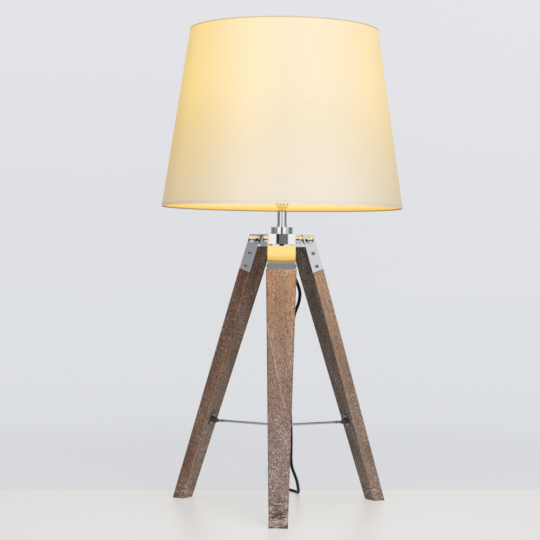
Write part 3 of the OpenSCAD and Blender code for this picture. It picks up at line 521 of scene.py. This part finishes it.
FINISHES = {
    # The shade's bottom ring takes the liner's painted glow and its painted shadow line at the rim
    "shade_cover": fabric, "shade_liner": liner, "shade_top_ring": white_wire,
    "shade_bottom_ring": liner, "shade_arms": white_wire, "shade_fitter": white_wire,
    "clamp_ring_upper": white_plastic, "clamp_ring_lower": white_plastic, "holder_body": white_plastic,
    "holder_insert": white_plastic,
    "bulb_glass": lit("lit_glass", (0.55, 0.30, 0.10, 1), (1.0, 0.84, 0.50, 1), 0.515, 0.560),
    "bulb_filament": lit("lit_filament", (2.0, 1.2, 0.5, 1), (3.0, 2.1, 1.0, 1), 0.51, 0.56), "bulb_cap": plated,
    "holder_nut": plated, "threaded_tube": plated, "hub_washer": plated, "hub_lock_nut": plated,
    "bulb_contact": brass, "holder_screw_shell": brass, "holder_contact": brass,
    "holder_cup": chrome, "stem_tube": chrome, "stem_collar": chrome, "hub_disc": chrome, "hub": chrome,
    "spreader_ring": drawn_wire, "cord_relief": black_sheath, "cord_inner": black_sheath,
    "hank_tie": black_plastic, "switch_base": black_plastic, "switch_top": black_plastic,
    "switch_rocker": black_plastic, "plug_body": black_plastic, "plug_pins": plated,
}
for number, side in enumerate(LEG_AZIMUTH):
    FINISHES[f"leg_{side}"] = wood(side, 3.7 * number)
    FINISHES[f"bracket_{side}"] = steeper_plate(side) if side == "front" else chrome
    FINISHES[f"hinge_bolt_{side}"] = chrome
    FINISHES[f"cap_nut_{side}"] = chrome
    FINISHES[f"bracket_screws_{side}"] = screw_metal
    FINISHES[f"rod_bracket_{side}"] = dark_steel
    FINISHES[f"rod_{side}"] = drawn_wire


def paint(piece, material):
    piece.data.materials.clear()
    piece.data.materials.append(material)


for name, material in FINISHES.items():
    paint(nodes[name], material)
paint(mains_cord, black_sheath)

# ---------- pieces that the CAD leaves plain ----------


SHADE_STEPS, SMALL_STEPS = 180, 40


def turned(shape, outline, centre, axis, steps):
    """Spins a closed outline of (radius, place along the axis) corners, in mm, all the way round an axis."""
    axis = Vector(axis).normalized()
    out = axis.orthogonal().normalized()
    corners = [shape.verts.new(Vector(centre) + (out * r + axis * h) * MM) for r, h in outline]
    edges = [shape.edges.new(pair) for pair in zip(corners, corners[1:] + corners[:1])
             if pair[0].co != pair[1].co]
    bmesh.ops.spin(shape, geom=corners + edges, cent=centre, axis=axis, angle=2 * math.pi, steps=steps,
                   use_merge=True)


def finished(shape, bevel=0.0):
    """Closes the seams, turns the faces outwards, rounds the sharp edges and smooths the shading."""
    bmesh.ops.remove_doubles(shape, verts=shape.verts, dist=1e-6)
    bmesh.ops.recalc_face_normals(shape, faces=shape.faces)
    if bevel:
        sharp = [e for e in shape.edges if len(e.link_faces) == 2 and e.calc_face_angle() > math.radians(30)]
        bmesh.ops.bevel(shape, geom=sharp, offset=bevel * MM, segments=2, profile=0.5, affect="EDGES",
                        material=-1, clamp_overlap=True)
    for face in shape.faces:
        face.smooth = True
    return shape


HEM_SINK = 0.1  # how deep the hems and the seam start inside the cover
HEM_LOW, HEM_HIGH = (436.0, 441.0), (692.0, 693.9)
SEAM_GAP, SEAM_PROUD, SEAM_HALF_ANGLE = 0.2, 0.3, math.radians(2.0)


def shade_radius(z):
    return (SHADE_R0 + (SHADE_R1 - SHADE_R0) * (z * MM - SHADE_Z0) / (SHADE_Z1 - SHADE_Z0)) / MM


def hem(name, band, proud, material):
    """A folded band of cloth round the outside of the shade."""
    shape = bmesh.new()
    z0, z1 = band
    corners = [(shade_radius(z) + d, z) for z, d in ((z0, -HEM_SINK), (z0, proud), (z1, proud), (z1, -HEM_SINK))]
    turned(shape, corners, (0, 0, 0), (0, 0, 1), SHADE_STEPS)
    piece = add_piece(name, finished(shape, 0.12), "shade", "shade_fabric")
    paint(piece, material)


hem("shade_hem_low", HEM_LOW, 0.35, hem_low)
hem("shade_hem_high", HEM_HIGH, 0.3, hem_high)


def seam():
    """The overlap of the cover's two ends, at the back."""
    shape = bmesh.new()
    z0, z1 = HEM_LOW[1] + SEAM_GAP, HEM_HIGH[0] - SEAM_GAP
    corners = [shape.verts.new(Vector((0, shade_radius(z) + d, z)) * MM)
               for z, d in ((z0, -HEM_SINK), (z0, SEAM_PROUD), (z1, SEAM_PROUD), (z1, -HEM_SINK))]
    strip = shape.faces.new(corners)
    bmesh.ops.rotate(shape, cent=(0, 0, 0), matrix=Matrix.Rotation(-SEAM_HALF_ANGLE, 3, "Z"), verts=shape.verts)
    bmesh.ops.spin(shape, geom=[strip, *strip.edges, *strip.verts], cent=(0, 0, 0), axis=(0, 0, 1),
                   angle=2 * SEAM_HALF_ANGLE, steps=8)
    piece = add_piece("shade_seam", finished(shape, 0.1), "shade", "shade_fabric")
    paint(piece, fabric)


seam()


SCREW_S, BRACKET_HALF_W = (20.5, 40.5), 20.0
CROSS_SIZE, CROSS_TAPER, CROSS_HEIGHT = Vector((3.4, 0.75, 1.4)), (0.45, 0.7, 1), 1.25
SCREW_OUTLINE = [(0, -12), (0.9, -12), (1.4, -10.5), (1.4, 0), (2.8, 0), (2.8, 0.45), (2.62, 0.55)] + [
    (2.62 * math.cos(math.radians(v)), 0.55 + 0.95 * math.sin(math.radians(v))) for v in range(15, 90, 15)
] + [(0, 1.5)]


def cross_head_screws(side):
    """The four screws of a bracket, with a tapered cross in each head."""
    pin, down, across, out = leg_frame(side)
    heads, crosses = bmesh.new(), bmesh.new()
    for number, s in enumerate(SCREW_S):
        for way in (-1, 1):
            centre, axis = pin + down * s * MM + across * (way * BRACKET_HALF_W * MM), across * way
            turned(heads, SCREW_OUTLINE, centre, axis, SMALL_STEPS)
            for turn in (0, 90):
                arm = bmesh.ops.create_cube(crosses, size=1.0)["verts"]
                bmesh.ops.scale(crosses, vec=CROSS_SIZE * MM, verts=arm)
                bmesh.ops.scale(crosses, vec=CROSS_TAPER, verts=[v for v in arm if v.co.z < 0])
                # Each screw was driven to a turn of its own
                bmesh.ops.rotate(crosses, cent=(0, 0, 0), verts=arm,
                                 matrix=Matrix.Rotation(math.radians(turn + 25 + 40 * number * way), 3, "Z"))
                bmesh.ops.rotate(crosses, cent=(0, 0, 0), verts=arm,
                                 matrix=axis.to_track_quat("Z", "Y").to_matrix())
                bmesh.ops.translate(crosses, vec=centre + axis * CROSS_HEIGHT * MM, verts=arm)
    bmesh.ops.remove_doubles(heads, verts=heads.verts, dist=1e-6)
    bmesh.ops.recalc_face_normals(heads, faces=heads.faces)
    objects = []
    for name, shape in (("head_blanks", heads), ("cross_cutters", crosses)):
        data = bpy.data.meshes.new(name)
        shape.to_mesh(data)
        shape.free()
        objects.append(bpy.data.objects.new(name, data))
        scene.collection.objects.link(objects[-1])
    cut = objects[0].modifiers.new("cross", "BOOLEAN")
    cut.object, cut.operation, cut.solver, cut.use_self = objects[1], "DIFFERENCE", "EXACT", True
    data = bpy.data.meshes.new_from_object(objects[0].evaluated_get(bpy.context.evaluated_depsgraph_get()))
    for helper in objects:
        helper_data = helper.data
        bpy.data.objects.remove(helper)
        bpy.data.meshes.remove(helper_data)
    data.name = f"cross_head_screws_{side}"
    piece = add_piece(data.name, data, f"{side}_leg", "zinc_screw", f"bracket_screws_{side}")
    paint(piece, screw_metal)


ROD_PIVOT_R, ROD_PIVOT_Z, ROD_REACH = 109.996, 119.742, 96.5
ROD_TUBE_OUTLINE = [  # radius, and distance from the rod's pivot
    (1.2, 7.4), (1.7, 7.4), (2.0, 7.9), (2.0, 10.2), (1.75, 10.5), (1.75, 11.1), (2.0, 11.4), (2.0, 16.4),
    (1.7, 17.4), (1.7, ROD_REACH - 5.6), (1.5, ROD_REACH - 5.1), (1.2, ROD_REACH - 5.0),
]


def rod_tube(side):
    """The plated tube over a spreader rod, with a crimp where it meets the flat tongue."""
    out = leg_frame(side)[3]
    shape = bmesh.new()
    pivot = out * ROD_PIVOT_R * MM + Vector((0, 0, ROD_PIVOT_Z * MM))
    turned(shape, ROD_TUBE_OUTLINE, pivot, -out, SMALL_STEPS)
    paint(add_piece(f"rod_tube_{side}", finished(shape), f"{side}_rod", "rod_steel"), drawn_wire)


for side in LEG_AZIMUTH:
    cross_head_screws(side)
    rod_tube(side)

# ---------- floor and light ----------

FLOOR_HALF = 14
TABLE_EDGE_Y, TABLE_TURN = 0.165, 0.095
GROUND_LEVELS = [
    (0.012, 0.742), (0.05, 0.745), (0.085, 0.738), (0.12, 0.727), (0.15, 0.735), (0.40, 0.742), (1.0, 0.744),
]


def make_floor():
    """One flat floor: a white table top as far as its back edge, and pale ground that fades into the wall."""
    shape = bmesh.new()
    bmesh.ops.create_grid(shape, x_segments=1, y_segments=1, size=FLOOR_HALF)
    data = bpy.data.meshes.new("floor")
    shape.to_mesh(data)
    shape.free()
    piece = bpy.data.objects.new("floor", data)
    scene.collection.objects.link(piece)
    m = Build("floor")
    p = m.place()
    away = m.add("VectorMath", {"operation": "LENGTH"}, {0: p}, out="Value")
    close = away.rise(1.5, 0.6)
    level = m.level(away / FLOOR_HALF, GROUND_LEVELS)
    # Polished metal sees a dark room beyond the table
    mirrored = m.add("LightPath", out="Is Glossy Ray")
    seen = (level - close * 0.15) * (1 - mirrored * away.rise(0.4, 0.8) * 0.97)
    ground_glow = m.add("VectorMath", {"operation": "SCALE"}, {0: (0.98, 1.0, 1.04), "Scale": seen}, out="Vector")
    table = m.add("BsdfPrincipled", inputs={
        "Base Color": (0.50, 0.493, 0.485, 1), "Roughness": 0.35, "Emission Color": (1.0, 0.985, 0.97, 1),
        "Emission Strength": 0.46,
    })
    ground = m.add("BsdfPrincipled", inputs={
        "Base Color": m.mix(close, (0.0, 0.0, 0.0, 1), (0.25, 0.25, 0.25, 1)), "Roughness": 1.0,
        "Specular IOR Level": 0.0, "Emission Color": ground_glow, "Emission Strength": 1.0,
    })
    behind = m.dot(p, (-TABLE_TURN, 1, 0)).rise(TABLE_EDGE_Y - 0.0005, TABLE_EDGE_Y + 0.0005)
    surface = m.add("MixShader", inputs={0: behind.most(away.rise(0.35, 0.9)), 1: table, 2: ground})
    m.add("OutputMaterial", inputs={"Surface": surface})
    paint(piece, m.material)


make_floor()


# How bright the studio is that metal mirrors, from straight in front (0) round to the back (1)
STUDIO_PANELS = [
    (0.0, 0.05), (0.05, 0.05), (0.06, 1.0), (0.25, 1.0), (0.285, 0.10), (0.30, 0.03), (0.315, 0.36),
    (0.42, 0.30), (0.50, 0.22), (0.60, 0.20), (0.80, 0.30), (1.0, 0.60),
]


def make_world():
    """Even pale surroundings for the camera, a studio of white and dark panels in the metal, and dim light."""
    w = Build("surroundings", bpy.data.worlds.new("surroundings"))
    scene.world = w.material
    way = w.add("TexCoord", out="Generated")
    x, y, z = (w.dot(way, axis) for axis in ((1, 0, 0), (0, 1, 0), (0, 0, 1)))
    wall = w.mix(z.rise(0.0, 0.16) * 0.7 + x.rise(-0.1, 0.17) * 0.3,
                 linear(222, 223.5, 227.5), linear(229, 229, 233))
    turn = x.angle(-y)
    panels = w.level(abs(turn) / math.pi, STUDIO_PANELS)
    # A brighter one on the right
    panels = panels * (1 + turn.rise(0.80, 0.92) * turn.rise(1.45, 1.25) * 1.15)
    # Straight ahead of a flat face: a white screen with the dark shape of what stands before it
    screen = (1 - abs(turn).rise(0.0100, 0.0105)) * (1 - abs(z).rise(0.04, 0.05))
    shape = turn.rise(-0.0036, -0.0035) * turn.rise(0.0042, 0.0041)
    ahead = 1 - shape * (0.98 - turn.rise(-0.0019, -0.0016) * 0.16)
    panels = panels * (1 - screen) + ahead * screen
    # The ceiling is an even grey
    panels = panels + (0.28 - panels) * z.rise(0.35, 0.55)
    panel_tone = w.mix(panels.least(1.0), (0.0, 0.0, 0.0, 1), (0.97, 0.98, 1.0, 1))
    sheen = w.add("Background", inputs={"Color": panel_tone})
    seen = w.add("Background", inputs={"Color": wall})
    dim = w.add("Background", inputs={"Color": (0.10, 0.105, 0.115, 1)})
    straight = w.add("LightPath", out="Is Camera Ray")
    mirrored = w.add("LightPath", out="Is Glossy Ray")
    unseen = w.add("MixShader", inputs={0: mirrored, 1: dim, 2: sheen})
    w.add("OutputWorld", inputs={"Surface": w.add("MixShader", inputs={0: straight, 1: unseen, 2: seen})})


def softbox(name, place, aim, size, power):
    """A square of soft light, which polished metal doesn't mirror: the studio's panels do that."""
    data = bpy.data.lights.new(name, "AREA")
    data.size, data.energy = size, power
    light = bpy.data.objects.new(name, data)
    light.visible_glossy = False
    light.location = place
    light.rotation_mode = "QUATERNION"
    light.rotation_quaternion = (Vector(aim) - Vector(place)).to_track_quat("-Z", "Y")
    scene.collection.objects.link(light)


make_world()
softbox("front_right", (0.75, -2.3, 0.45), (0, 0, 0.35), 0.9, 29.5)
softbox("above", (0.2, -0.4, 2.2), (0, 0, 0), 2.0, 18)

scene.view_settings.view_transform = "Standard"
